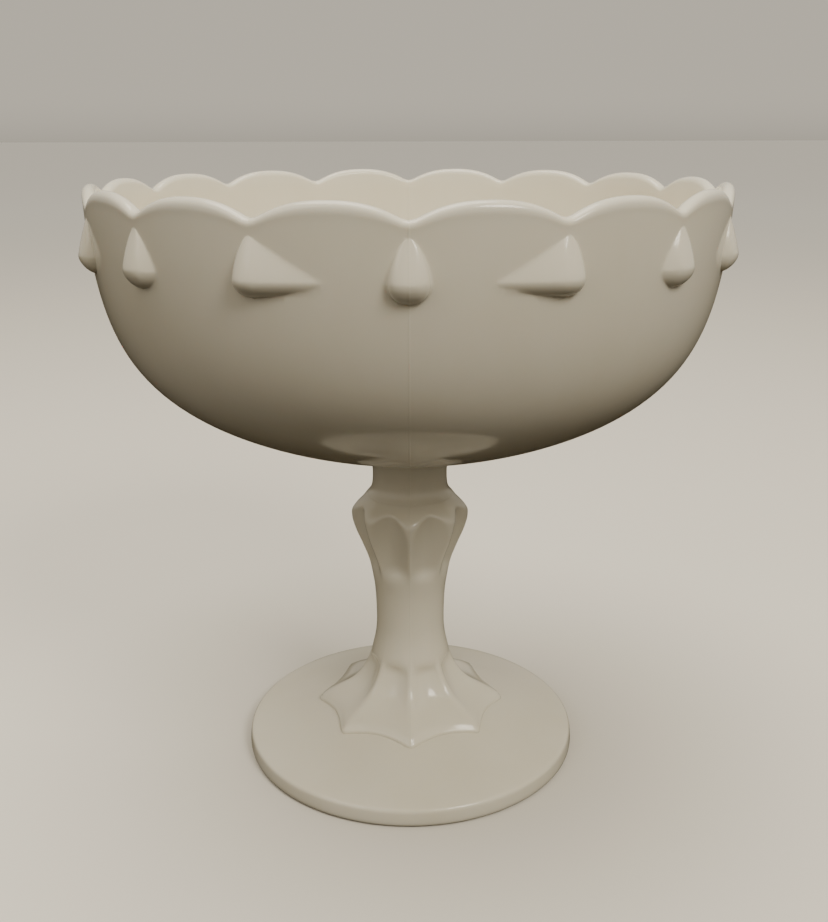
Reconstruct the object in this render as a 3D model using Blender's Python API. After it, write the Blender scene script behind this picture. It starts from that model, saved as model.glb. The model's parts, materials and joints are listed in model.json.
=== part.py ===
"""Pressed-glass pedestal bowl: scalloped bowl with teardrop knobs, round neck, fluted stem, round foot.

Metres, +Z up. The origin is on the ground, at the centre of the foot. The mould opened along X,
so its seam runs down the front (-Y) and the back (+Y).
"""

import math

import bmesh
import bpy
from mathutils import Vector

MM = 0.001
GAP = 0.3 * MM  # clearance between two neighbouring pieces

# Whole object
LOBES = 16  # scallops on the rim, and one knob below each valley
CORNERS = 8  # corners of the stem

# Foot
FOOT_BASE_RADIUS = 67.8 * MM
FOOT_EDGE_RADIUS = 67.2 * MM  # where the side band turns into the top
FOOT_BAND_HEIGHT = 7.3 * MM
FOOT_SLOPE = math.tan(math.radians(15.0))
FOOT_ROUNDING = 1.6 * MM
REST_OUTER_RADIUS = 66.4 * MM  # flat ring that the object stands on
REST_INNER_RADIUS = 59.0 * MM
FOOT_HOLLOW_HEIGHT = 6.0 * MM  # dome under the foot, at its middle
SEAT_RADIUS = 20.0 * MM  # flat at the top of the foot's cone
FOOT_SEGMENTS = 96

# Stem
STAR_STEP = 1.8 * MM  # height of the star's edge above the foot
STAR_CORNER_RADIUS = 39.0 * MM
STAR_SIDE_RADIUS = 33.5 * MM
SIDE_STEPS = 6  # points from one corner of the stem to the next
NECK_SEAM = 108.5 * MM  # height of the joint between stem and neck

# Neck
NECK_RADIUS = 14.7 * MM
NECK_SEGMENTS = 64

# Bowl
PAD_RADIUS = 17.5 * MM  # flat under the bowl, where the neck is joined
OUTER_LIMIT = 116.0 * MM  # radius that the outer wall curves towards
OUTER_FLOOR = 122.7 * MM
OUTER_SPREAD = 20.74 * MM  # height over which the outer wall steepens
INNER_LIMIT = 111.2 * MM
INNER_FLOOR = 129.5 * MM
INNER_SPREAD = 20.0 * MM
VALLEY_HEIGHT = 223.0 * MM
LOBE_HEIGHT = 5.9 * MM
LOBE_POWER = 2.44
LOBE_STEPS = 6
WALL_STEPS = 10

# Knobs: height, half width and how far each level stands out from the wall, top to bottom
KNOB_LEVELS = (
    (218.6, 1.5, 0.2),
    (217.0, 3.0, 0.9),
    (213.9, 4.9, 2.1),
    (210.5, 6.2, 3.4),
    (207.2, 6.8, 4.4),
    (204.6, 6.2, 4.2),
    (202.8, 4.8, 3.4),
    (201.6, 3.0, 0.9),
)
KNOB_ARC_STEPS = 6
KNOB_ROOT = 2.0 * MM  # how deep a knob runs into the wall
DRAFT = math.radians(4.5)  # taper that frees a knob from the opening mould

# Stem levels: height, corner radius, radius between corners, and how much higher than its corners
# the level runs between them
STEM_LEVELS = (
    (21.0, 32.5, 26.6, 1.3),
    (24.5, 26.0, 20.9, 0.9),
    (28.2, 22.2, 17.8, 0.5),
    (33.3, 18.7, 15.7, 0.2),
    (41.7, 15.4, 13.5, 0.0),
    (52.0, 13.8, 12.3, 0.0),
    (65.0, 14.1, 12.5, 0.0),
    (76.0, 15.7, 13.6, 0.0),
    (85.0, 19.0, 15.6, 0.0),
    (91.5, 21.9, 17.2, 0.0),
    (97.0, 23.3, 18.7, 0.0),
    (100.5, 23.4, 19.6, 0.0),
    (103.0, 22.3, 19.9, 0.0),
    (106.0, 19.2, 18.6, 0.0),
)


def clear_scene():
    for old in list(bpy.data.objects):
        bpy.data.objects.remove(old, do_unlink=True)


def milk_glass():
    material = bpy.data.materials.new("milk_glass")
    material.use_nodes = True
    shader = material.node_tree.nodes["Principled BSDF"]
    shader.inputs["Base Color"].default_value = (0.80, 0.78, 0.72, 1.0)
    shader.inputs["Roughness"].default_value = 0.12
    shader.inputs["Metallic"].default_value = 0.0
    return material


def add_object(name, mesh_data, material):
    mesh = bpy.data.meshes.new(name)
    mesh_data.to_mesh(mesh)
    mesh_data.free()
    mesh.materials.append(material)
    mesh.shade_smooth()
    mesh.set_sharp_from_angle(angle=math.radians(40.0))
    piece = bpy.data.objects.new(name, mesh)
    bpy.context.scene.collection.objects.link(piece)
    return piece


def turned(outline, segments):
    """Turns an outline, given from the axis round the outside and back to the axis, about Z."""
    work = bmesh.new()
    points = [work.verts.new((radius, 0.0, height)) for radius, height in outline]
    edges = [work.edges.new(pair) for pair in zip(points, points[1:])]
    bmesh.ops.spin(
        work,
        geom=points + edges,
        cent=(0.0, 0.0, 0.0),
        axis=(0.0, 0.0, 1.0),
        angle=math.tau,
        steps=segments,
        use_merge=True,
    )
    bmesh.ops.remove_doubles(work, verts=work.verts, dist=0.00001)
    bmesh.ops.recalc_face_normals(work, faces=work.faces)
    return work


def foot_top(radius):
    """Height of the foot's upper face, a shallow cone with a flat middle."""
    return FOOT_BAND_HEIGHT + (FOOT_EDGE_RADIUS - max(radius, SEAT_RADIUS)) * FOOT_SLOPE


def make_foot(material):
    dome_steps = 5
    dome = []
    for step in range(dome_steps):
        share = step / dome_steps
        dome.append((REST_INNER_RADIUS * share, FOOT_HOLLOW_HEIGHT * (1.0 - share * share)))
    band_top = FOOT_BAND_HEIGHT - FOOT_ROUNDING
    top_start = FOOT_EDGE_RADIUS - FOOT_ROUNDING
    outline = dome + [
        (REST_INNER_RADIUS, 0.0),
        (REST_OUTER_RADIUS, 0.0),
        (FOOT_BASE_RADIUS, 1.2 * MM),
        (FOOT_EDGE_RADIUS + 0.15 * MM, band_top),
        (FOOT_EDGE_RADIUS - 0.35 * MM, FOOT_BAND_HEIGHT - 0.2 * MM),
        (top_start, foot_top(top_start)),
        (SEAT_RADIUS, foot_top(SEAT_RADIUS)),
        (0.0, foot_top(0.0)),
    ]
    return add_object("foot", turned(outline, FOOT_SEGMENTS), material)


def fluted_ring(work, corner, side, height_at):
    """One ring of the stem: a corner every 45 degrees with a hollow flute between corners."""
    ring = []
    count = CORNERS * SIDE_STEPS
    for step in range(count):
        angle = math.tau * step / count
        offset = (step % SIDE_STEPS) / SIDE_STEPS * 2.0
        share = 1.0 - abs(1.0 - offset)  # 0 on a corner, 1 halfway between two
        bend = 2.0 * share - share * share
        radius = corner - (corner - side) * bend
        ring.append(
            work.verts.new((radius * math.cos(angle), radius * math.sin(angle), height_at(radius, share)))
        )
    return ring


def bridge(work, lower, upper):
    for step in range(len(lower)):
        after = (step + 1) % len(lower)
        work.faces.new((lower[step], lower[after], upper[after], upper[step]))


def make_stem(material):
    work = bmesh.new()
    seat = fluted_ring(work, SEAT_RADIUS, SEAT_RADIUS, lambda radius, share: foot_top(radius) + GAP)
    under = fluted_ring(
        work, STAR_CORNER_RADIUS, STAR_SIDE_RADIUS, lambda radius, share: foot_top(radius) + GAP
    )
    edge = fluted_ring(
        work,
        STAR_CORNER_RADIUS - 0.3 * MM,
        STAR_SIDE_RADIUS - 0.3 * MM,
        lambda radius, share: foot_top(radius) + STAR_STEP,
    )
    rings = [seat, under, edge]
    for height, corner, side, lift in STEM_LEVELS:
        rings.append(
            fluted_ring(
                work,
                corner * MM,
                side * MM,
                lambda radius, share, height=height, lift=lift: (height + lift * share) * MM,
            )
        )
    rings.append(
        fluted_ring(work, 17.0 * MM, 17.0 * MM, lambda radius, share: NECK_SEAM - GAP / 2.0)
    )
    for lower, upper in zip(rings, rings[1:]):
        bridge(work, lower, upper)
    work.faces.new(reversed(seat))
    work.faces.new(rings[-1])
    bmesh.ops.recalc_face_normals(work, faces=work.faces)
    return add_object("stem", work, material)


def make_neck(material):
    bottom = NECK_SEAM + GAP / 2.0
    top = pad_height() - GAP
    outline = [
        (0.0, bottom),
        (16.9 * MM, bottom),
        (15.6 * MM, bottom + 1.8 * MM),
        (14.9 * MM, bottom + 4.2 * MM),
        (NECK_RADIUS, bottom + 8.0 * MM),
        (NECK_RADIUS, top - 3.0 * MM),
        (15.3 * MM, top - 1.2 * MM),
        (16.8 * MM, top),
        (0.0, top),
    ]
    return add_object("neck", turned(outline, NECK_SEGMENTS), material)


def wall_height(radius, limit, floor, spread):
    """The wall starts nearly flat and turns upright as its radius nears the limit."""
    return floor - spread * math.log(1.0 - radius / limit)


def wall_radius(height, limit, floor, spread):
    return limit * (1.0 - math.exp(-(height - floor) / spread))


def outer_radius(height):
    return wall_radius(height, OUTER_LIMIT, OUTER_FLOOR, OUTER_SPREAD)


def pad_height():
    return wall_height(PAD_RADIUS, OUTER_LIMIT, OUTER_FLOOR, OUTER_SPREAD)


def wall_points(start, limit, floor, spread, top):
    """Points along a wall, evenly spread between its slope near the middle and its upright rim."""
    last = wall_radius(top, limit, floor, spread)
    points = []
    for step in range(WALL_STEPS):
        share = step / (WALL_STEPS - 1)
        radius = start + (last - start) * (1.0 - (1.0 - share) ** 1.9)
        points.append((radius, wall_height(radius, limit, floor, spread)))
    return points


def lobe_lift(angle):
    """Height of the scalloped rim above a valley; the valleys are on the knobs' directions."""
    position = (angle / math.tau * LOBES) % 1.0
    across = 2.0 * position - 1.0
    return LOBE_HEIGHT * (1.0 - abs(across) ** LOBE_POWER)


def scallop(work):
    """Raises the rim into lobes; the lift fades out down the wall."""
    fade_start = VALLEY_HEIGHT - 16.0 * MM
    for vertex in work.verts:
        if vertex.co.z > fade_start:
            share = min((vertex.co.z - fade_start) / (VALLEY_HEIGHT - fade_start), 1.0)
            angle = math.atan2(vertex.co.y, vertex.co.x)
            vertex.co.z += lobe_lift(angle) * share * share


def bowl_outline():
    rim_round = 1.5 * MM
    outer = wall_points(PAD_RADIUS, OUTER_LIMIT, OUTER_FLOOR, OUTER_SPREAD, VALLEY_HEIGHT - rim_round)
    inner = wall_points(0.0, INNER_LIMIT, INNER_FLOOR, INNER_SPREAD, VALLEY_HEIGHT - rim_round)
    rim = [
        (outer[-1][0] - 0.8 * MM, VALLEY_HEIGHT - 0.3 * MM),
        ((outer[-1][0] + inner[-1][0]) / 2.0, VALLEY_HEIGHT),
        (inner[-1][0] + 0.8 * MM, VALLEY_HEIGHT - 0.3 * MM),
    ]
    return [(0.0, pad_height())] + outer + rim + list(reversed(inner))


def knob_outline(direction, height, half_width, out):
    """Level outline of one knob, in world X and Y.

    A half ellipse stands on the wall. Towards the mould's seam it is drawn out nearly along X,
    so that the mould, which opens along X, can leave it.
    """
    wall = outer_radius(height)
    normal = Vector((math.sin(direction), -math.cos(direction)))
    side = Vector((math.cos(direction), math.sin(direction)))
    points = []
    for step in range(KNOB_ARC_STEPS + 1):
        turn = math.pi * (step / KNOB_ARC_STEPS - 0.5)
        along = half_width * math.sin(turn)
        away = wall + out * math.cos(turn)
        points.append(normal * away + side * along)
    if abs(math.sin(2.0 * direction)) > 0.01:
        points = drawn_to_seam(points, wall)
    root = wall - KNOB_ROOT
    return points + [points[-1].normalized() * root, points[0].normalized() * root]


def drawn_to_seam(points, wall):
    """Replaces the seam side of a knob's outline by a straight run that ends in the wall."""
    middle = points[len(points) // 2]
    right = math.copysign(1.0, middle.x)
    front = math.copysign(1.0, middle.y)
    run = Vector((-right * math.cos(DRAFT), front * math.sin(DRAFT)))
    face = Vector((right * math.sin(DRAFT), front * math.cos(DRAFT)))
    tip = max(range(2, len(points) - 2), key=lambda index: points[index].dot(face))
    start = points[tip]
    inward = start.dot(run)
    room = max(inward * inward - start.length_squared + wall * wall, 0.0)
    end = start + run * (-inward - math.sqrt(room))
    buried = (end + run * 2.0 * MM).normalized() * (wall - 0.8 * MM)
    seam_first = abs(points[0].x) < abs(points[-1].x)
    count = tip if seam_first else len(points) - 1 - tip
    drawn = [start.lerp(end, step / (count - 1)) for step in range(1, count)] + [buried]
    if seam_first:
        return list(reversed(drawn)) + points[tip:]
    return points[: tip + 1] + drawn


def make_knobs():
    """All the knobs as one cutter, each a stack of outlines closed at both ends."""
    work = bmesh.new()
    for index in range(LOBES):
        direction = math.tau * index / LOBES
        rings = []
        for height, half_width, out in KNOB_LEVELS:
            outline = knob_outline(direction, height * MM, half_width * MM, out * MM)
            rings.append([work.verts.new((x, y, height * MM)) for x, y in outline])
        for upper, lower in zip(rings, rings[1:]):
            bridge(work, upper, lower)
        work.faces.new(rings[0])
        work.faces.new(reversed(rings[-1]))
    bmesh.ops.recalc_face_normals(work, faces=work.faces)
    mesh = bpy.data.meshes.new("knob_shapes")
    work.to_mesh(mesh)
    work.free()
    knobs = bpy.data.objects.new("knob_shapes", mesh)
    bpy.context.scene.collection.objects.link(knobs)
    knobs.hide_render = True
    knobs.display_type = "WIRE"
    return knobs


def make_bowl(material):
    work = turned(bowl_outline(), LOBES * LOBE_STEPS)
    scallop(work)
    bowl = add_object("bowl", work, material)
    union = bowl.modifiers.new("knobs", "BOOLEAN")
    union.operation = "UNION"
    union.solver = "EXACT"
    union.object = make_knobs()
    return bowl


def main():
    clear_scene()
    material = milk_glass()
    make_foot(material)
    make_stem(material)
    make_neck(material)
    make_bowl(material)


main()
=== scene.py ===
import json
from math import atan2, cos, degrees, exp, hypot, log, pi, radians, sin, tan

import bmesh
import bpy
from mathutils import Matrix, Vector

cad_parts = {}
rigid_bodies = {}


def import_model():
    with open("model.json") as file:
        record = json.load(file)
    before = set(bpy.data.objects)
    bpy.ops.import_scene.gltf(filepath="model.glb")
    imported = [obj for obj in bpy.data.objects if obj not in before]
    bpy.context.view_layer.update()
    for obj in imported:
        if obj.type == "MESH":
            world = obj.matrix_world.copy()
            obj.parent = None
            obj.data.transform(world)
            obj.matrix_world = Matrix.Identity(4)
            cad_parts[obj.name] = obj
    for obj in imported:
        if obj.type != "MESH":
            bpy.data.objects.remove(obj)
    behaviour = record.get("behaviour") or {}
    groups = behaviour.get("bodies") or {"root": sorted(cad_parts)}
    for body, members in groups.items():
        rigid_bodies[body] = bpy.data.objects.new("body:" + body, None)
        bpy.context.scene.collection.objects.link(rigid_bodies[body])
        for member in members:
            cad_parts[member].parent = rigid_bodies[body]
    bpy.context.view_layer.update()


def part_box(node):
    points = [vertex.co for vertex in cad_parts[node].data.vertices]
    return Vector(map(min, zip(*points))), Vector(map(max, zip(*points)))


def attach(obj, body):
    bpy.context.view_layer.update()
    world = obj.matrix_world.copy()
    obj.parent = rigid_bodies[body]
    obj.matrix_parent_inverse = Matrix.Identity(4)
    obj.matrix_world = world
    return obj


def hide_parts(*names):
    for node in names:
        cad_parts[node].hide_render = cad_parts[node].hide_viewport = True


# Pressed milk glass bowl on a fluted pedestal. Lengths are in millimetres until they reach Blender,
# angles in degrees, and an outline is a list of radii and heights.
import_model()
mm = 0.001

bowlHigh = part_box("bowl")[1]
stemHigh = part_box("stem")[1]
print("frame loaded, object is %.1f mm tall" % (bowlHigh.z / mm))

# what every piece is finished with
meshMake = {
    "spinGap": 0.01,          # points nearer than this are merged after a spin
    "repeatGap": 0.02,        # and after the sectors are set side by side
    "poleRadius": 0.01,       # points inside this are on the axis
    "rounding": 1,            # subdivision levels
    "crispAngle": 40,         # edges sharper than this stay crisp in shading
}


def clearSelection():
    if bpy.context.mode != "OBJECT":
        bpy.ops.object.mode_set(mode="OBJECT")
    bpy.ops.object.select_all(action="DESELECT")


def openMesh(piece):
    clearSelection()
    bpy.context.view_layer.objects.active = piece
    piece.select_set(True)
    bpy.ops.object.mode_set(mode="EDIT")
    bpy.ops.mesh.select_mode(type="VERT")


def closeMesh():
    bpy.ops.object.mode_set(mode="OBJECT")


def pickNumbers(piece, numbers):
    work = bmesh.from_edit_mesh(piece.data)
    work.verts.ensure_lookup_table()
    for vertex in work.verts:
        vertex.select = False
    for number in numbers:
        work.verts[number].select = True
    work.select_flush_mode()
    bmesh.update_edit_mesh(piece.data, loop_triangles=False, destructive=False)


def drawOutline(name, outline):
    # a plane merged to one vertex, then extruded point by point in the YZ plane, outwards along -Y
    places = [Vector((0, -across * mm, height * mm)) for across, height in outline]
    clearSelection()
    bpy.ops.mesh.primitive_plane_add(size=0.01, location=places[0])
    piece = bpy.context.object
    piece.name = name
    piece.data.name = name
    bpy.ops.object.transform_apply(location=True, rotation=False, scale=False)
    openMesh(piece)
    bpy.ops.mesh.select_all(action="SELECT")
    bpy.ops.mesh.merge(type="CENTER")
    bpy.ops.mesh.select_all(action="SELECT")
    for before, after in zip(places, places[1:]):
        bpy.ops.mesh.extrude_region_move(TRANSFORM_OT_translate={"value": after - before})
    closeMesh()
    return piece


def spinOutline(piece, turn, steps):
    openMesh(piece)
    bpy.ops.mesh.select_all(action="SELECT")
    bpy.ops.mesh.spin(steps=steps, angle=radians(turn), center=(0, 0, 0), axis=(0, 0, 1))
    bpy.ops.mesh.select_all(action="SELECT")
    bpy.ops.mesh.remove_doubles(threshold=meshMake["spinGap"] * mm)
    bpy.ops.mesh.normals_make_consistent(inside=False)
    closeMesh()


def repeatAround(piece, count):
    # the modelled sector is copied round the axis and its edges are merged
    openMesh(piece)
    bpy.ops.mesh.select_all(action="SELECT")
    bpy.ops.mesh.spin(steps=count - 1, dupli=True, angle=2 * pi * (count - 1) / count,
                      center=(0, 0, 0), axis=(0, 0, 1))
    bpy.ops.mesh.select_all(action="SELECT")
    bpy.ops.mesh.remove_doubles(threshold=meshMake["repeatGap"] * mm)
    bpy.ops.mesh.normals_make_consistent(inside=False)
    closeMesh()


def sectorCells(piece, outline, sector, steps):
    # vertex numbers by column class, 0 at the sector's edges, and by outline row
    cells = {}
    for vertex in piece.data.vertices:
        across = hypot(vertex.co.x, vertex.co.y) / mm
        height = vertex.co.z / mm
        gaps = [hypot(spot[0] - across, spot[1] - height) for spot in outline]
        row = gaps.index(min(gaps))
        column = round(abs(degrees(atan2(vertex.co.x, -vertex.co.y))) * steps / sector)
        edgeward = min(column, steps - column)
        if across > meshMake["poleRadius"]:
            cells.setdefault((edgeward, row), []).append(vertex.index)
    return cells


def smoothPiece(piece):
    clearSelection()
    bpy.context.view_layer.objects.active = piece
    piece.select_set(True)
    rounding = piece.modifiers.new("rounding", "SUBSURF")
    rounding.levels = meshMake["rounding"]
    rounding.render_levels = meshMake["rounding"]
    bpy.ops.object.modifier_apply(modifier=rounding.name)
    bpy.ops.object.shade_smooth_by_angle(angle=radians(meshMake["crispAngle"]))


def through(points):
    # a smooth curve through the points that never swings past them
    spans = [b[0] - a[0] for a, b in zip(points, points[1:])]
    slopes = [(b[1] - a[1]) / (b[0] - a[0]) for a, b in zip(points, points[1:])]
    leans = [slopes[0]]
    for i in range(1, len(slopes)):
        if slopes[i - 1] * slopes[i] <= 0:
            leans.append(0.0)
        else:
            heavy, light = 2 * spans[i] + spans[i - 1], spans[i] + 2 * spans[i - 1]
            leans.append((heavy + light) / (heavy / slopes[i - 1] + light / slopes[i]))
    leans.append(slopes[-1])

    def value(x):
        x = min(max(x, points[0][0]), points[-1][0])
        i = max(k for k in range(len(spans)) if points[k][0] <= x)
        t = (x - points[i][0]) / spans[i]
        start = (1 + 2 * t) * (1 - t) ** 2 * points[i][1] + t * (1 - t) ** 2 * spans[i] * leans[i]
        finish = t * t * (3 - 2 * t) * points[i + 1][1] - t * t * (1 - t) * spans[i] * leans[i + 1]
        return start + finish

    return value


# the bowl's two walls flatten into the floor along the same kind of curve
bowlMake = {
    "lobes": 16,
    "columns": 12,            # steps across one lobe
    "outerLimit": 116.0,      # the radius that the wall would reach far above the rim
    "outerFloor": 122.7,
    "outerSpread": 20.74,
    "innerLimit": 111.2,
    "innerFloor": 129.5,
    "innerSpread": 20.0,
    "lobeHeight": 5.9,
    "lobePower": 2.44,
    "lobeFade": 16.0,         # how far the scallops reach down into the wall
    "edgeRound": 1.9,         # how far the rim's rounding starts below the top
    "edgeBulge": 0.35,        # 0 leaves the rim's rounding an ellipse
    "edgeTurns": (-4, 14, 34, 56, 78, 102, 124, 146, 166, 184),
    "edgeFoot": 0.2,          # how far the rounding's first and last rows are lowered
    "poleAcross": 0.5,        # the walls' poles lie as high as the walls do here
    "floorRows": [6, 12, 17, 22, 28, 34, 40, 46, 52, 58, 64, 69, 74, 78.5, 82.5],
    "wallRows": [151.5, 155, 159, 163.5, 168.5, 174, 180, 186, 192, 198, 203],
    "scallopRows": (0.4, 2.5, 4.5, 6.5, 8.4, 10.2, 11.9, 13.2),  # above where the scallops begin
    "rowGap": 1.5,            # least height between the last floor row and the first wall row
}


def wallAcross(height, side):
    limit, floor, spread = (bowlMake[side + part] for part in ("Limit", "Floor", "Spread"))
    return limit * (1 - exp(-(height - floor) / spread))


def wallHeight(across, side):
    limit, floor, spread = (bowlMake[side + part] for part in ("Limit", "Floor", "Spread"))
    return floor - spread * log(1 - across / limit)


def bowlOutline():
    valley = bowlHigh.z / mm - bowlMake["lobeHeight"]
    fade = valley - bowlMake["lobeFade"]
    rowHeights = bowlMake["wallRows"] + [fade + step for step in bowlMake["scallopRows"]]
    walls = {}
    for side in ("outer", "inner"):
        floor = [(0, wallHeight(bowlMake["poleAcross"], side))]
        floor += [(across, wallHeight(across, side)) for across in bowlMake["floorRows"]]
        lowest = floor[-1][1] + bowlMake["rowGap"]
        walls[side] = floor + [(wallAcross(h, side), h) for h in rowHeights if h > lowest]
    rim = []
    outside, inside = wallAcross(valley, "outer"), wallAcross(valley, "inner")
    middle, half = (outside + inside) / 2, (outside - inside) / 2
    drop = bowlMake["edgeRound"]
    for turn in bowlMake["edgeTurns"]:
        along, up = cos(radians(turn)), sin(radians(turn))
        across = middle + half * along / max(abs(along), abs(up)) ** bowlMake["edgeBulge"]
        rim.append((across, valley - drop + (drop * up if up > 0 else -bowlMake["edgeFoot"])))
    return walls["outer"] + rim + walls["inner"][::-1]


def liftLobes(piece, outline):
    valley = bowlHigh.z / mm - bowlMake["lobeHeight"]
    fade = valley - bowlMake["lobeFade"]
    half = bowlMake["columns"] // 2
    cells = sectorCells(piece, outline, 360 / bowlMake["lobes"], bowlMake["columns"])
    openMesh(piece)
    for edgeward in range(1, half + 1):
        off = 1 - edgeward / half
        rise = bowlMake["lobeHeight"] * (1 - off ** bowlMake["lobePower"])
        for row, (_, height) in enumerate(outline):
            if height > fade:
                share = min((height - fade) / bowlMake["lobeFade"], 1)
                pickNumbers(piece, cells[(edgeward, row)])
                bpy.ops.transform.translate(value=(0, 0, rise * share ** 2 * mm))
    closeMesh()


def makeBowl():
    outline = bowlOutline()
    piece = drawOutline("pressedBowl", outline)
    spinOutline(piece, 360 / bowlMake["lobes"], bowlMake["columns"])
    liftLobes(piece, outline)
    repeatAround(piece, bowlMake["lobes"])
    smoothPiece(piece)
    return piece


# A knob stands below every notch. The moulds pulled away along X, which drew the ones beside
# the seam out into wedges.
knobMake = {
    "azimuths": (0, 22.5, 45, 67.5, 90),
    "halfWidth": 5.9,
    "standOut": 4.4,
    "squareness": 2.3,        # 2 is a plain ellipse
    "top": 219.2,
    "widest": 206.6,
    "bottom": 201.0,
    "draft": 4.5,             # between the drawn-out face and the moulds' pull
    "besideSeam": {"azimuth": 22.5, "halfWidth": 5.6, "bottom": 201.9},
    "turnStep": 8,            # the rounded side is drawn in steps of this angle
    "lastTurn": 80,
    "fillet": [(1.003, 0.6), (1.025, 0.3), (1.07, 0.0), (1.14, -0.2), (1.24, -0.38), (1.34, -0.6)],
    "root": (1.34, 2.2),      # how wide and how deep it reaches into the wall
    "runDip": 0.55,           # how far under the wall the drawn-out face ends
    "runSteps": 8,
    "runRoot": 0.7,           # how much deeper its root reaches
    "shrinkDepth": 0.1,       # the levels shrink towards a point this far inside the wall
    "bottomLevels": [0.1, 0.2, 0.32, 0.45, 0.58, 0.7, 0.8, 0.88, 0.94, 0.98, 0.995],
    "topLevels": [0.02, 0.06, 0.12, 0.2, 0.3, 0.4, 0.5, 0.6, 0.7, 0.78, 0.85, 0.91, 0.96, 0.99],
    # the powers that width and stand-out shrink with, towards each end
    "bottomPowers": ((2.1, 0.48), (1.7, 0.62)),
    "topPowers": ((1.5, 0.62), (1.1, 1)),
    "creaseAngle": 13,        # sharper edges than this round a knob are softened
    "creaseReach": (1.0, 0.8),  # below and above the knobs
    "crispAngle": 38,
}


def knobShape(azimuth):
    own = knobMake["besideSeam"] if azimuth == knobMake["besideSeam"]["azimuth"] else {}
    return dict(knobMake, **own)


def knobOutline(azimuth, shape):
    # half a squared ellipse on the wall, with a small fillet, as (along the wall, out of the wall)
    width, out, bend = shape["halfWidth"], shape["standOut"], 2 / shape["squareness"]
    rootWide, rootDeep = shape["root"]

    def curve(turn):
        return width * sin(radians(turn)) ** bend, out * cos(radians(turn)) ** bend

    turnStep, lastTurn = shape["turnStep"], shape["lastTurn"]
    plainSide = [curve(turn) for turn in range(0, lastTurn + 1, turnStep)]
    plainSide += [(width * share, depth) for share, depth in shape["fillet"]]
    slope = radians(azimuth - shape["draft"])
    tip = None
    if azimuth in (0, 90):
        seamSide = [(-along, away) for along, away in plainSide]
        end = [(-width * rootWide, -rootDeep)]
    else:
        # where the face has turned along the moulds' pull, it runs straight until it meets the wall
        curves = [curve(turn) for turn in range(lastTurn + 1)]
        pulls = [along * sin(slope) + away * cos(slope) for along, away in curves]
        turned = pulls.index(max(pulls))
        tip = curves[turned]
        count = max(2, turned // turnStep)
        seamSide = [curve(turned * i / count) for i in range(count)]
        seamSide = [(-along, away) for along, away in seamSide] + [(-tip[0], tip[1])]
        circle = wallAcross(shape["widest"], "outer")
        reach = 0.0
        while tip[1] - reach * tan(slope) > -(tip[0] + reach) ** 2 / (2 * circle) - shape["runDip"]:
            reach += 0.1
        steps = shape["runSteps"]
        for i in range(1, steps + 1):
            seamSide.append((-(tip[0] + reach * i / steps), tip[1] - reach * tan(slope) * i / steps))
        end = [(seamSide[-1][0], seamSide[-1][1] - shape["runRoot"])]
    return [(width * rootWide, -rootDeep)] + plainSide[::-1] + seamSide[1:] + end, tip


def knobScale(height, shape):
    # width and stand-out at a height, as shares of what they are where the knob is widest
    end = "bottom" if height < shape["widest"] else "top"
    x = (height - shape["widest"]) / (shape[end] - shape["widest"])
    return [(1 - x ** inner) ** outer for inner, outer in shape[end + "Powers"]]


def makeKnob(azimuth):
    shape = knobShape(azimuth)
    outline, tip = knobOutline(azimuth, shape)
    level = shape["widest"]
    circle = wallAcross(level, "outer")
    clearSelection()
    bpy.ops.mesh.primitive_circle_add(vertices=len(outline), radius=0.005, fill_type="NOTHING")
    piece = bpy.context.object
    openMesh(piece)
    for number, (along, out) in enumerate(outline):
        pickNumbers(piece, [number])
        place = Vector((along, -circle - out, level)) * mm
        bpy.ops.transform.translate(value=place - piece.data.vertices[number].co)
    for end in ("bottom", "top"):
        pickNumbers(piece, range(len(outline)))
        wide, deep, here = 1.0, 1.0, level
        for share in shape[end + "Levels"]:
            there = level + (shape[end] - level) * share
            newWide, newDeep = knobScale(there, shape)
            wall = wallAcross(there, "outer")
            step = (0, (wallAcross(here, "outer") - wall) * mm, (there - here) * mm)
            bpy.ops.mesh.extrude_region_move(TRANSFORM_OT_translate={"value": step})
            pivot = (0, (shape["shrinkDepth"] - wall) * mm, there * mm)
            bpy.ops.transform.resize(value=(newWide / wide, newDeep / deep, 1), orient_type="GLOBAL",
                                     center_override=pivot)
            if tip:
                # the drawn-out face keeps its slope, so its length goes with the stand-out
                turn = -tip[0] * newWide * mm
                ring = [v for v in bmesh.from_edit_mesh(piece.data).verts if v.select]
                drawn = [v.index for v in ring if v.co.x < turn - 0.01 * mm]
                ring = [v.index for v in ring]
                pickNumbers(piece, drawn)
                longer = newDeep * wide / (deep * newWide)
                bpy.ops.transform.resize(value=(longer, 1, 1), orient_type="GLOBAL",
                                         center_override=(turn, 0, there * mm))
                pickNumbers(piece, ring)
            wide, deep, here = newWide, newDeep, there
        bpy.ops.mesh.edge_face_add()
    bpy.ops.mesh.select_all(action="SELECT")
    bpy.ops.mesh.normals_make_consistent(inside=False)
    closeMesh()
    return piece


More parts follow.
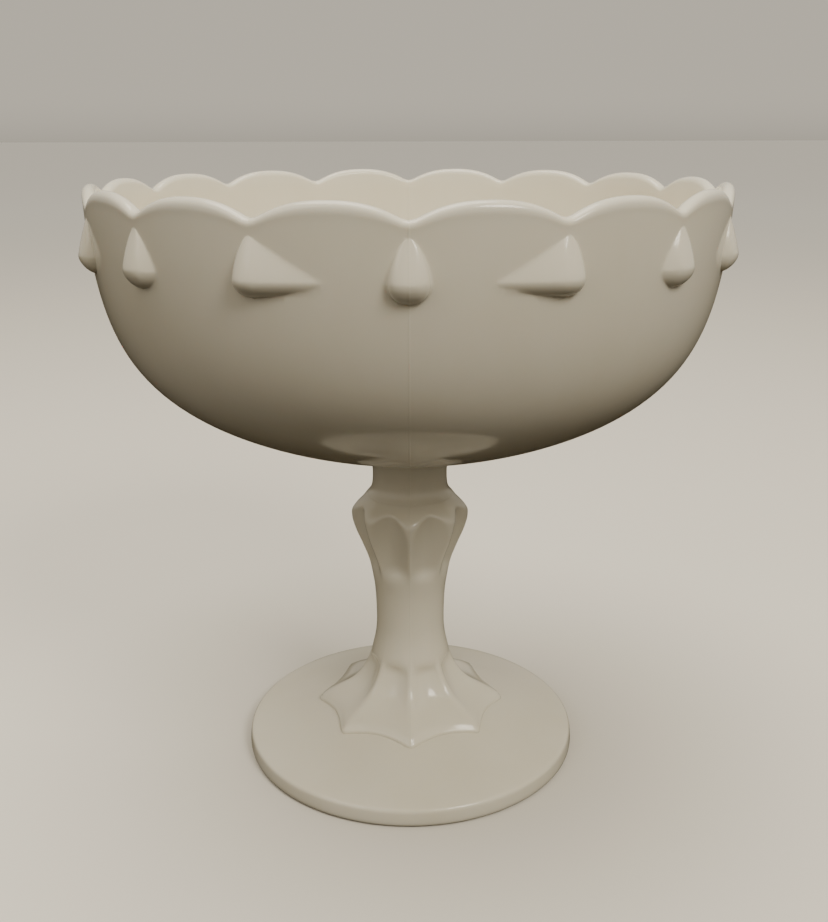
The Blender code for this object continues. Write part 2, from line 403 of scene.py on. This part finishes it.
def placeKnobs():
    # one knob of each kind is modelled at the front, then copied, turned and mirrored into place
    knobs = []
    for azimuth in knobMake["azimuths"]:
        model = makeKnob(azimuth)
        sides = (1,) if azimuth == 0 else (1, -1)
        turns = (90,) if azimuth == 90 else (azimuth, 180 - azimuth)
        for turn, side in [(turn, side) for turn in turns for side in sides]:
            copied = model.copy()
            copied.data = model.data.copy()
            bpy.context.collection.objects.link(copied)
            behind = -1 if turn > 90 else 1
            front = min(turn, 180 - turn)
            turned = Matrix.Rotation(radians(front), 4, "Z")
            copied.data.transform(Matrix.Diagonal((side, behind, 1, 1)) @ turned)
            openMesh(copied)
            bpy.ops.mesh.select_all(action="SELECT")
            bpy.ops.mesh.normals_make_consistent(inside=False)
            closeMesh()
            knobs.append(copied)
        bpy.data.objects.remove(model)
    clearSelection()
    for knob in knobs:
        knob.select_set(True)
    bpy.context.view_layer.objects.active = knobs[0]
    bpy.ops.object.join()
    return knobs[0]


def joinKnobs(bowl, knobs):
    clearSelection()
    bpy.context.view_layer.objects.active = bowl
    bowl.select_set(True)
    union = bowl.modifiers.new("knobs", "BOOLEAN")
    union.operation = "UNION"
    union.solver = "EXACT"
    union.object = knobs
    bpy.ops.object.modifier_apply(modifier=union.name)
    bpy.data.objects.remove(knobs)
    # the crease round each knob is softened, as the fire polish left it
    openMesh(bowl)
    bpy.ops.mesh.select_mode(type="EDGE")
    bpy.ops.mesh.select_all(action="DESELECT")
    bpy.ops.mesh.edges_select_sharp(sharpness=radians(knobMake["creaseAngle"]))
    work = bmesh.from_edit_mesh(bowl.data)
    below, above = knobMake["creaseReach"]
    low, high = (knobMake["bottom"] - below) * mm, (knobMake["top"] + above) * mm
    crease = [v.index for v in work.verts if v.select and low < v.co.z < high]
    bpy.ops.mesh.select_mode(type="VERT")
    pickNumbers(bowl, crease)
    bpy.ops.mesh.select_more()
    bpy.ops.mesh.vertices_smooth(factor=0.5, repeat=3)
    closeMesh()
    bpy.ops.object.shade_smooth_by_angle(angle=radians(knobMake["crispAngle"]))


bowl = makeBowl()
print("bowl shaped with", bowlMake["lobes"], "lobes")
joinKnobs(bowl, placeKnobs())
print("knobs joined to the bowl,", len(bowl.data.vertices), "vertices")


# the neck is plain, and opens out into the bowl above and the knop below
neckMake = {
    "outline": [(0, 106.6), (17.2, 106.6), (17.75, 107.3), (17.4, 107.95), (16.8, 108.7),
                (16.2, 109.4), (15.6, 110.3), (15.1, 111.6), (14.8, 113.4), (14.7, 116),
                (14.75, 118.6), (14.95, 120.8), (15.4, 122.6), (16.2, 124.2), (17.2, 125.3),
                (18.5, 126.03), (19.8, 126.5), (20.8, 126.95), (20.6, 127.8), (0, 127.8)],
    "steps": 96,
}


def makeNeck():
    piece = drawOutline("turnedNeck", neckMake["outline"])
    spinOutline(piece, 360, neckMake["steps"])
    smoothPiece(piece)
    return piece


neck = makeNeck()
print("neck turned")

# Eight hollow flutes run from the star up to arched tops on the knop. Where a flute's corner, an
# arris, and its middle lie is given by height: the height comes first, then the radius.
stemMake = {
    "flutes": 8,
    "columns": 16,            # steps across one flute
    "corner": [(14.0, 38.9), (16.65, 38.9), (21.3, 32.5), (24.8, 25.9), (28.1, 22.3), (33.3, 18.7),
               (41.7, 15.4), (52, 13.8), (65, 14.1), (76, 15.7), (85, 19.0), (91.5, 21.9),
               (97, 24.3), (101, 26.6), (105, 30), (109, 36)],
    "middle": [(14.0, 33.4), (16.65, 33.4), (20.6, 26.6), (24.2, 20.9), (28.2, 17.8), (33.3, 15.4),
               (41.7, 13.0), (52, 11.7), (65, 11.9), (76, 13.0), (85, 15.2), (91.5, 17.0),
               (97, 18.4), (101, 19.2), (104.5, 20.1), (106.5, 21.6), (109, 25.3)],
    "knopCorner": [(70, 21.6), (85, 21.9), (91.5, 22.3), (97, 23.3), (100.5, 23.5), (103, 22.3),
                   (106, 19.2), (108.6, 17.0)],
    "knopMiddle": [(70, 20.8), (85, 21.1), (91.5, 21.4), (97, 22.1), (100.5, 22.3), (103, 21.4),
                   (106, 18.8), (108.6, 17.0)],
    # by height, how far the star's edge is lifted in the middle of a flute
    "sideLift": [(14, 1.45), (16.65, 1.45), (20.6, 1.3), (24.2, 0.9), (28.2, 0.5), (33.3, 0.2),
                 (41.7, 0)],
    "knopFrom": 84,           # below this only the flutes count
    "arrisBlend": 0.3,        # rounds the arched tops, where flute meets knop
    # outline of the underside, up to the star's edge
    "underside": [(0, 19.2), (12, 19.2), (22, 18.4), (30, 16.2), (38.2, 14.1), (38.85, 14.6),
                  (38.95, 15.4), (38.85, 16.0), (38.5, 16.45), (38.0, 16.75)],
    "rows": [18.6, 20, 21.5, 23, 24.5, 26, 27.6, 29.4, 31.4, 33.6, 36, 38.6, 41.5, 44.8, 48.3,
             52, 56, 60, 64, 68, 72, 76, 79.5, 82.5, 85, 87, 89],
    "knopRows": (90.5, 0.9, 21),  # first, apart, how many
    "top": (16.6, 0.2),       # radius, and how far it runs into the neck
    "fluted": (16.65, 108.6),  # the flutes are laid out between these heights
    # lowest, highest, angle to each side of an arris, rounds of smoothing
    "rubbed": ((18.5, 110, 3, 3), (18.5, 44, 6, 10)),
}

stemCurves = ("corner", "middle", "knopCorner", "knopMiddle", "sideLift")
stemLaw = {name: through(stemMake[name]) for name in stemCurves}


def fluteAcross(height, u):
    # u is 0 on an arris and 1 in the middle of a flute
    scoop = 2 * u - u * u
    corner, middle = stemLaw["corner"](height), stemLaw["middle"](height)
    flute = corner - (corner - middle) * scoop
    if height < stemMake["knopFrom"]:
        return flute
    corner, middle = stemLaw["knopCorner"](height), stemLaw["knopMiddle"](height)
    knop = corner - (corner - middle) * scoop
    blend = max(stemMake["arrisBlend"] - abs(flute - knop), 0) / stemMake["arrisBlend"]
    return min(flute, knop) - blend * blend * stemMake["arrisBlend"] / 4


def makeStem():
    first, apart, count = stemMake["knopRows"]
    heights = stemMake["rows"] + [first + step * apart for step in range(count)]
    topAcross, overlap = stemMake["top"]
    top = stemHigh.z / mm + overlap
    rows = stemMake["underside"] + [(fluteAcross(h, 0), h) for h in heights]
    rows += [(topAcross, top), (0, top)]
    lowest, highest = stemMake["fluted"]
    piece = drawOutline("flutedStem", rows)
    spinOutline(piece, 360 / stemMake["flutes"], stemMake["columns"])
    cells = sectorCells(piece, rows, 360 / stemMake["flutes"], stemMake["columns"])
    half = stemMake["columns"] // 2
    lift = stemLaw["sideLift"]
    openMesh(piece)
    for edgeward in range(1, half + 1):
        u = edgeward / half
        for row, (across, height) in enumerate(rows):
            if across < topAcross + 0.1:
                continue
            level = min(max(height, lowest), highest)
            share = fluteAcross(level, u) / fluteAcross(level, 0)
            pickNumbers(piece, cells[(edgeward, row)])
            bpy.ops.transform.resize(value=(share, share, 1), orient_type="GLOBAL",
                                     center_override=(0, 0, 0))
            rise = lift(height) * (2 * u - u * u)
            if rise:
                bpy.ops.transform.translate(value=(0, 0, rise * mm))
    closeMesh()
    repeatAround(piece, stemMake["flutes"])
    smoothPiece(piece)
    # the arrises are rubbed soft
    sector = 360 / stemMake["flutes"]
    for lowest, highest, reach, times in stemMake["rubbed"]:
        arrises = []
        for vertex in piece.data.vertices:
            azimuth = degrees(atan2(vertex.co.x, -vertex.co.y))
            aside = abs((azimuth + sector / 2) % sector - sector / 2)
            if lowest * mm < vertex.co.z < highest * mm and aside < reach:
                arrises.append(vertex.index)
        openMesh(piece)
        pickNumbers(piece, arrises)
        bpy.ops.mesh.vertices_smooth(factor=0.5, repeat=times)
        closeMesh()
    return piece


stem = makeStem()
print("stem fluted")

# the foot rests on a ring, under a shallow hollow
footMake = {
    "outline": [(0, 6.0), (20, 6.0), (36, 5.9), (48, 5.4), (54, 4.3), (57, 2.4), (58.6, 0.7),
                (59.6, 0.08), (60.6, 0), (63, 0), (65.4, 0), (66.6, 0.12), (67.35, 0.6),
                (67.75, 1.4), (67.8, 2.6), (67.65, 4.2), (67.45, 5.9), (67.2, 6.7), (66.7, 7.25),
                (65.9, 7.58)],
    "slope": 15.0,            # of the cone on top
    "edge": (67.2, 7.3),      # the cone would meet the side here
    "coneRows": (63.5, 60, 55, 50, 45, 40, 35, 30, 25, 21),
    "middle": [(18, 19.6), (0, 19.6)],
    "steps": 128,
}


def makeFoot():
    edgeAcross, edgeHeight = footMake["edge"]
    rise = tan(radians(footMake["slope"]))
    cone = [(a, edgeHeight + (edgeAcross - a) * rise) for a in footMake["coneRows"]]
    piece = drawOutline("restingFoot", footMake["outline"] + cone + footMake["middle"])
    spinOutline(piece, 360, footMake["steps"])
    smoothPiece(piece)
    return piece


foot = makeFoot()
print("foot turned")


class Wire:
    # a value on its way through a material's nodes
    def __init__(self, tree, socket=None):
        self.tree = tree
        self.socket = socket

    def node(self, kind, settings=None, inputs=None, output=0):
        made = self.tree.nodes.new("ShaderNode" + kind)
        for key, value in (settings or {}).items():
            setattr(made, key, value)
        for key, value in (inputs or {}).items():
            if isinstance(value, Wire):
                self.tree.links.new(value.socket, made.inputs[key])
            else:
                made.inputs[key].default_value = value
        return Wire(self.tree, made.outputs[output])

    def sum(self, operation, *values):
        return self.node("Math", {"operation": operation}, dict(enumerate(values)))

    def __add__(self, other):
        return self.sum("ADD", self, other)

    def __mul__(self, other):
        return self.sum("MULTIPLY", self, other)

    __radd__ = __add__
    __rmul__ = __mul__

    def between(self, low, high, first=0.0, last=1.0):
        ends = {"From Min": low, "From Max": high, "To Min": first, "To Max": last}
        return self.node("MapRange", {"interpolation_type": "SMOOTHSTEP"}, dict(ends, Value=self))

    def mixed(self, first, second):
        return self.node("Mix", {"data_type": "RGBA"}, {0: self, 6: first, 7: second}, 2)


glassFinish = {
    "white": (0.78, 0.735, 0.615, 1),
    "cream": (0.74, 0.69, 0.555, 1),
    "thinEdge": (0.70, 0.685, 0.61, 1),
    "wornGrey": (0.52, 0.49, 0.42, 1),
    "roughness": 0.13,
    # patterns: scale, detail, roughness, and the values that they fade in between
    "clouds": (14, 2, 0.5, 0.35, 0.65),  # slow drift between white and cream
    "streaks": (55, 4, 0.6, 0.4, 0.7),
    "haze": (38, 3, 0.6, 0.42, 0.72),    # where handling has dulled the polish
    "scuffs": (900, 3, 0.7, 0.48, 0.66),
    "seamGaps": (60, 1, 0.5, 0.3, 0.6),
    "waves": (42, 1, 0.4),
    "skin": (650, 2, 0.5),
    "streakStretch": (1, 1, 0.35),
    "rimDepth": 10,           # how far below the top the edge stops looking thin
    "wear": (0.2, 1.4),       # heights between which the wear on the resting ring fades
    # heights of the relief
    "waveHeight": 0.09,
    "skinHeight": 0.006,
    "scuffHeight": 0.02,
    "seamHeight": 0.07,       # the moulds met on x = 0
    "seamWidth": 0.5,
    "seamFrom": (12, 22),     # the seam comes up out of the foot between these heights
    "seamLeast": 0.35,        # how much of it is left where it is faintest
    "density": 1.5,           # index of refraction
    "glow": 0.2,              # light that sinks in and comes out again
    "glowReach": (1.0, 0.85, 0.65),
    "glowDepth": 3.0,
}


def milkGlass():
    finish = glassFinish
    material = bpy.data.materials.new("milkGlass")
    material.use_nodes = True
    tree = material.node_tree
    tree.nodes.clear()
    wire = Wire(tree)
    place = wire.node("TexCoord", output="Object")
    height = wire.node("SeparateXYZ", inputs={0: place}, output="Z")
    aside = wire.sum("ABSOLUTE", wire.node("SeparateXYZ", inputs={0: place}, output="X"))

    def noise(name, vector=place):
        scale, detail, rough = finish[name][:3]
        return wire.node("TexNoise", inputs={
            "Vector": vector, "Scale": scale, "Detail": detail, "Roughness": rough})

    def patches(name, vector=place, least=0.0):
        low, high = finish[name][3:]
        return noise(name, vector).between(low, high, least)

    clouds = patches("clouds")
    stretched = wire.node("Mapping", inputs={"Vector": place, "Scale": finish["streakStretch"]})
    streaks = patches("streaks", stretched)
    haze = patches("haze")
    scuffs = patches("scuffs")
    worn, whole = finish["wear"]
    rest = height.between(whole * mm, worn * mm)
    rim = height.between(bowlHigh.z - finish["rimDepth"] * mm, bowlHigh.z)

    tone = (clouds * 0.6 + streaks * 0.25).mixed(finish["white"], finish["cream"])
    tone = (rim * 0.35).mixed(tone, finish["thinEdge"])
    tone = (rest * (0.35 + 0.5 * scuffs)).mixed(tone, finish["wornGrey"])
    roughness = finish["roughness"] + 0.05 * haze + 0.03 * streaks + rest * (0.25 + 0.2 * scuffs)

    relief = noise("waves") * finish["waveHeight"] + noise("skin") * finish["skinHeight"]
    relief = relief + rest * scuffs * finish["scuffHeight"]
    seam = aside.between(0, finish["seamWidth"] * mm, 1, 0)
    seam = seam * patches("seamGaps", least=finish["seamLeast"])
    seamFoot, seamFull = finish["seamFrom"]
    seam = seam * height.between(seamFoot * mm, seamFull * mm)
    relief = relief + seam * finish["seamHeight"]
    bump = wire.node("Bump", inputs={"Strength": 1.0, "Distance": mm, "Height": relief})
    shader = wire.node("BsdfPrincipled", {"subsurface_method": "RANDOM_WALK"}, {
        "Base Color": tone, "Roughness": roughness, "Normal": bump, "IOR": finish["density"],
        "Subsurface Weight": finish["glow"], "Subsurface Radius": finish["glowReach"],
        "Subsurface Scale": finish["glowDepth"] * mm})
    output = tree.nodes.new("ShaderNodeOutputMaterial")
    tree.links.new(shader.socket, output.inputs["Surface"])
    return material


glass = milkGlass()
for piece, node in ((bowl, "bowl"), (neck, "neck"), (stem, "stem"), (foot, "foot")):
    piece.data.materials.clear()
    piece.data.materials.append(glass)
    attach(piece, "root")
    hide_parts(node)
print("milk glass on every piece")

studio = {
    "floorSize": 40,          # metres, as all distances here
    "floor": (0.80, 0.76, 0.68, 1),
    # the far floor's colour is painted light, paler where the lamps don't reach
    "paintedLightFloor": (0.98, 0.98, 0.97, 1),
    "farFrom": 0.5,           # how far from the middle the painted light starts to pale the floor
    "farTo": 3.5,
    "sky": (0.84, 0.77, 0.64, 1),
    "below": (0.03, 0.021, 0.01, 1),
    "skyStrength": 0.68,
    "skyEdge": (-0.12, 0.03),  # how steeply up the air turns from dark to pale
    "aim": (0, 0, 0.12),
    "lamps": [
        # name, place, size, watts, colour
        ("key", (0.72, -1.0, 1.18), 0.6, 13.6, (1.0, 0.94, 0.82)),
        ("top", (-0.15, 0.1, 1.6), 1.2, 19.0, (1.0, 0.95, 0.85)),
        ("fill", (-0.95, -0.8, 1.0), 0.8, 2.2, (1.0, 0.95, 0.85)),
    ],
}


def setStage():
    # the floor is seen and takes shadows, but throws no light back up under the bowl
    clearSelection()
    bpy.ops.mesh.primitive_plane_add(size=studio["floorSize"], location=(0, 0, 0))
    floor = bpy.context.object
    floor.name = "floor"
    floor.visible_diffuse = False
    floor.visible_glossy = False
    paint = bpy.data.materials.new("palePaper")
    paint.use_nodes = True
    tree = paint.node_tree
    tree.nodes.clear()
    wire = Wire(tree)
    place = wire.node("TexCoord", output="Object")
    grain = wire.node("TexNoise", inputs={"Vector": place, "Scale": 400, "Detail": 3})
    # painted light: beyond the lamps the floor's colour pales to the colour of the air, standing in
    # for the light the lamps don't give there, so that no horizon shows
    distance = wire.node("VectorMath", {"operation": "LENGTH"}, {0: place}, "Value")
    far = distance.between(studio["farFrom"], studio["farTo"])
    floorWithPaintedLight = far.mixed(studio["floor"], studio["paintedLightFloor"])
    shade = wire.node("BsdfPrincipled", inputs={"Base Color": floorWithPaintedLight, "Roughness": 0.75 + 0.1 * grain})
    output = tree.nodes.new("ShaderNodeOutputMaterial")
    tree.links.new(shade.socket, output.inputs["Surface"])
    floor.data.materials.append(paint)
    world = bpy.data.worlds.new("studioAir")
    world.use_nodes = True
    tree = world.node_tree
    tree.nodes.clear()
    wire = Wire(tree)
    up = wire.node("SeparateXYZ", inputs={0: wire.node("TexCoord", output="Generated")}, output="Z")
    air = up.between(*studio["skyEdge"]).mixed(studio["below"], studio["sky"])
    light = wire.node("Background", inputs={"Color": air, "Strength": studio["skyStrength"]})
    output = tree.nodes.new("ShaderNodeOutputWorld")
    tree.links.new(light.socket, output.inputs["Surface"])
    bpy.context.scene.world = world
    for name, place, size, watts, colour in studio["lamps"]:
        clearSelection()
        bpy.ops.object.light_add(type="AREA", location=place)
        lamp = bpy.context.object
        lamp.name = name
        lamp.data.shape = "DISK"
        lamp.data.size = size
        lamp.data.energy = watts
        lamp.data.color = colour
        towards = Vector(studio["aim"]) - Vector(place)
        lamp.rotation_euler = towards.to_track_quat("-Z", "Y").to_euler()


view = {
    "place": (0.0, -0.4014, 0.2472),  # metres
    "downward": 0.3044,       # radians
    "sideways": -0.005,
    "roll": 0.0024,
    "lens": 41.47,
    "sensor": 36,
    "nearest": 0.01,
}


def setCamera():
    clearSelection()
    bpy.ops.object.camera_add(location=view["place"])
    camera = bpy.context.object
    camera.rotation_euler = (pi / 2 - view["downward"], view["roll"], view["sideways"])
    camera.data.lens = view["lens"]
    camera.data.sensor_width = view["sensor"]
    camera.data.clip_start = view["nearest"]
    bpy.context.scene.camera = camera


setStage()
setCamera()
print("stage, lamps and camera set")
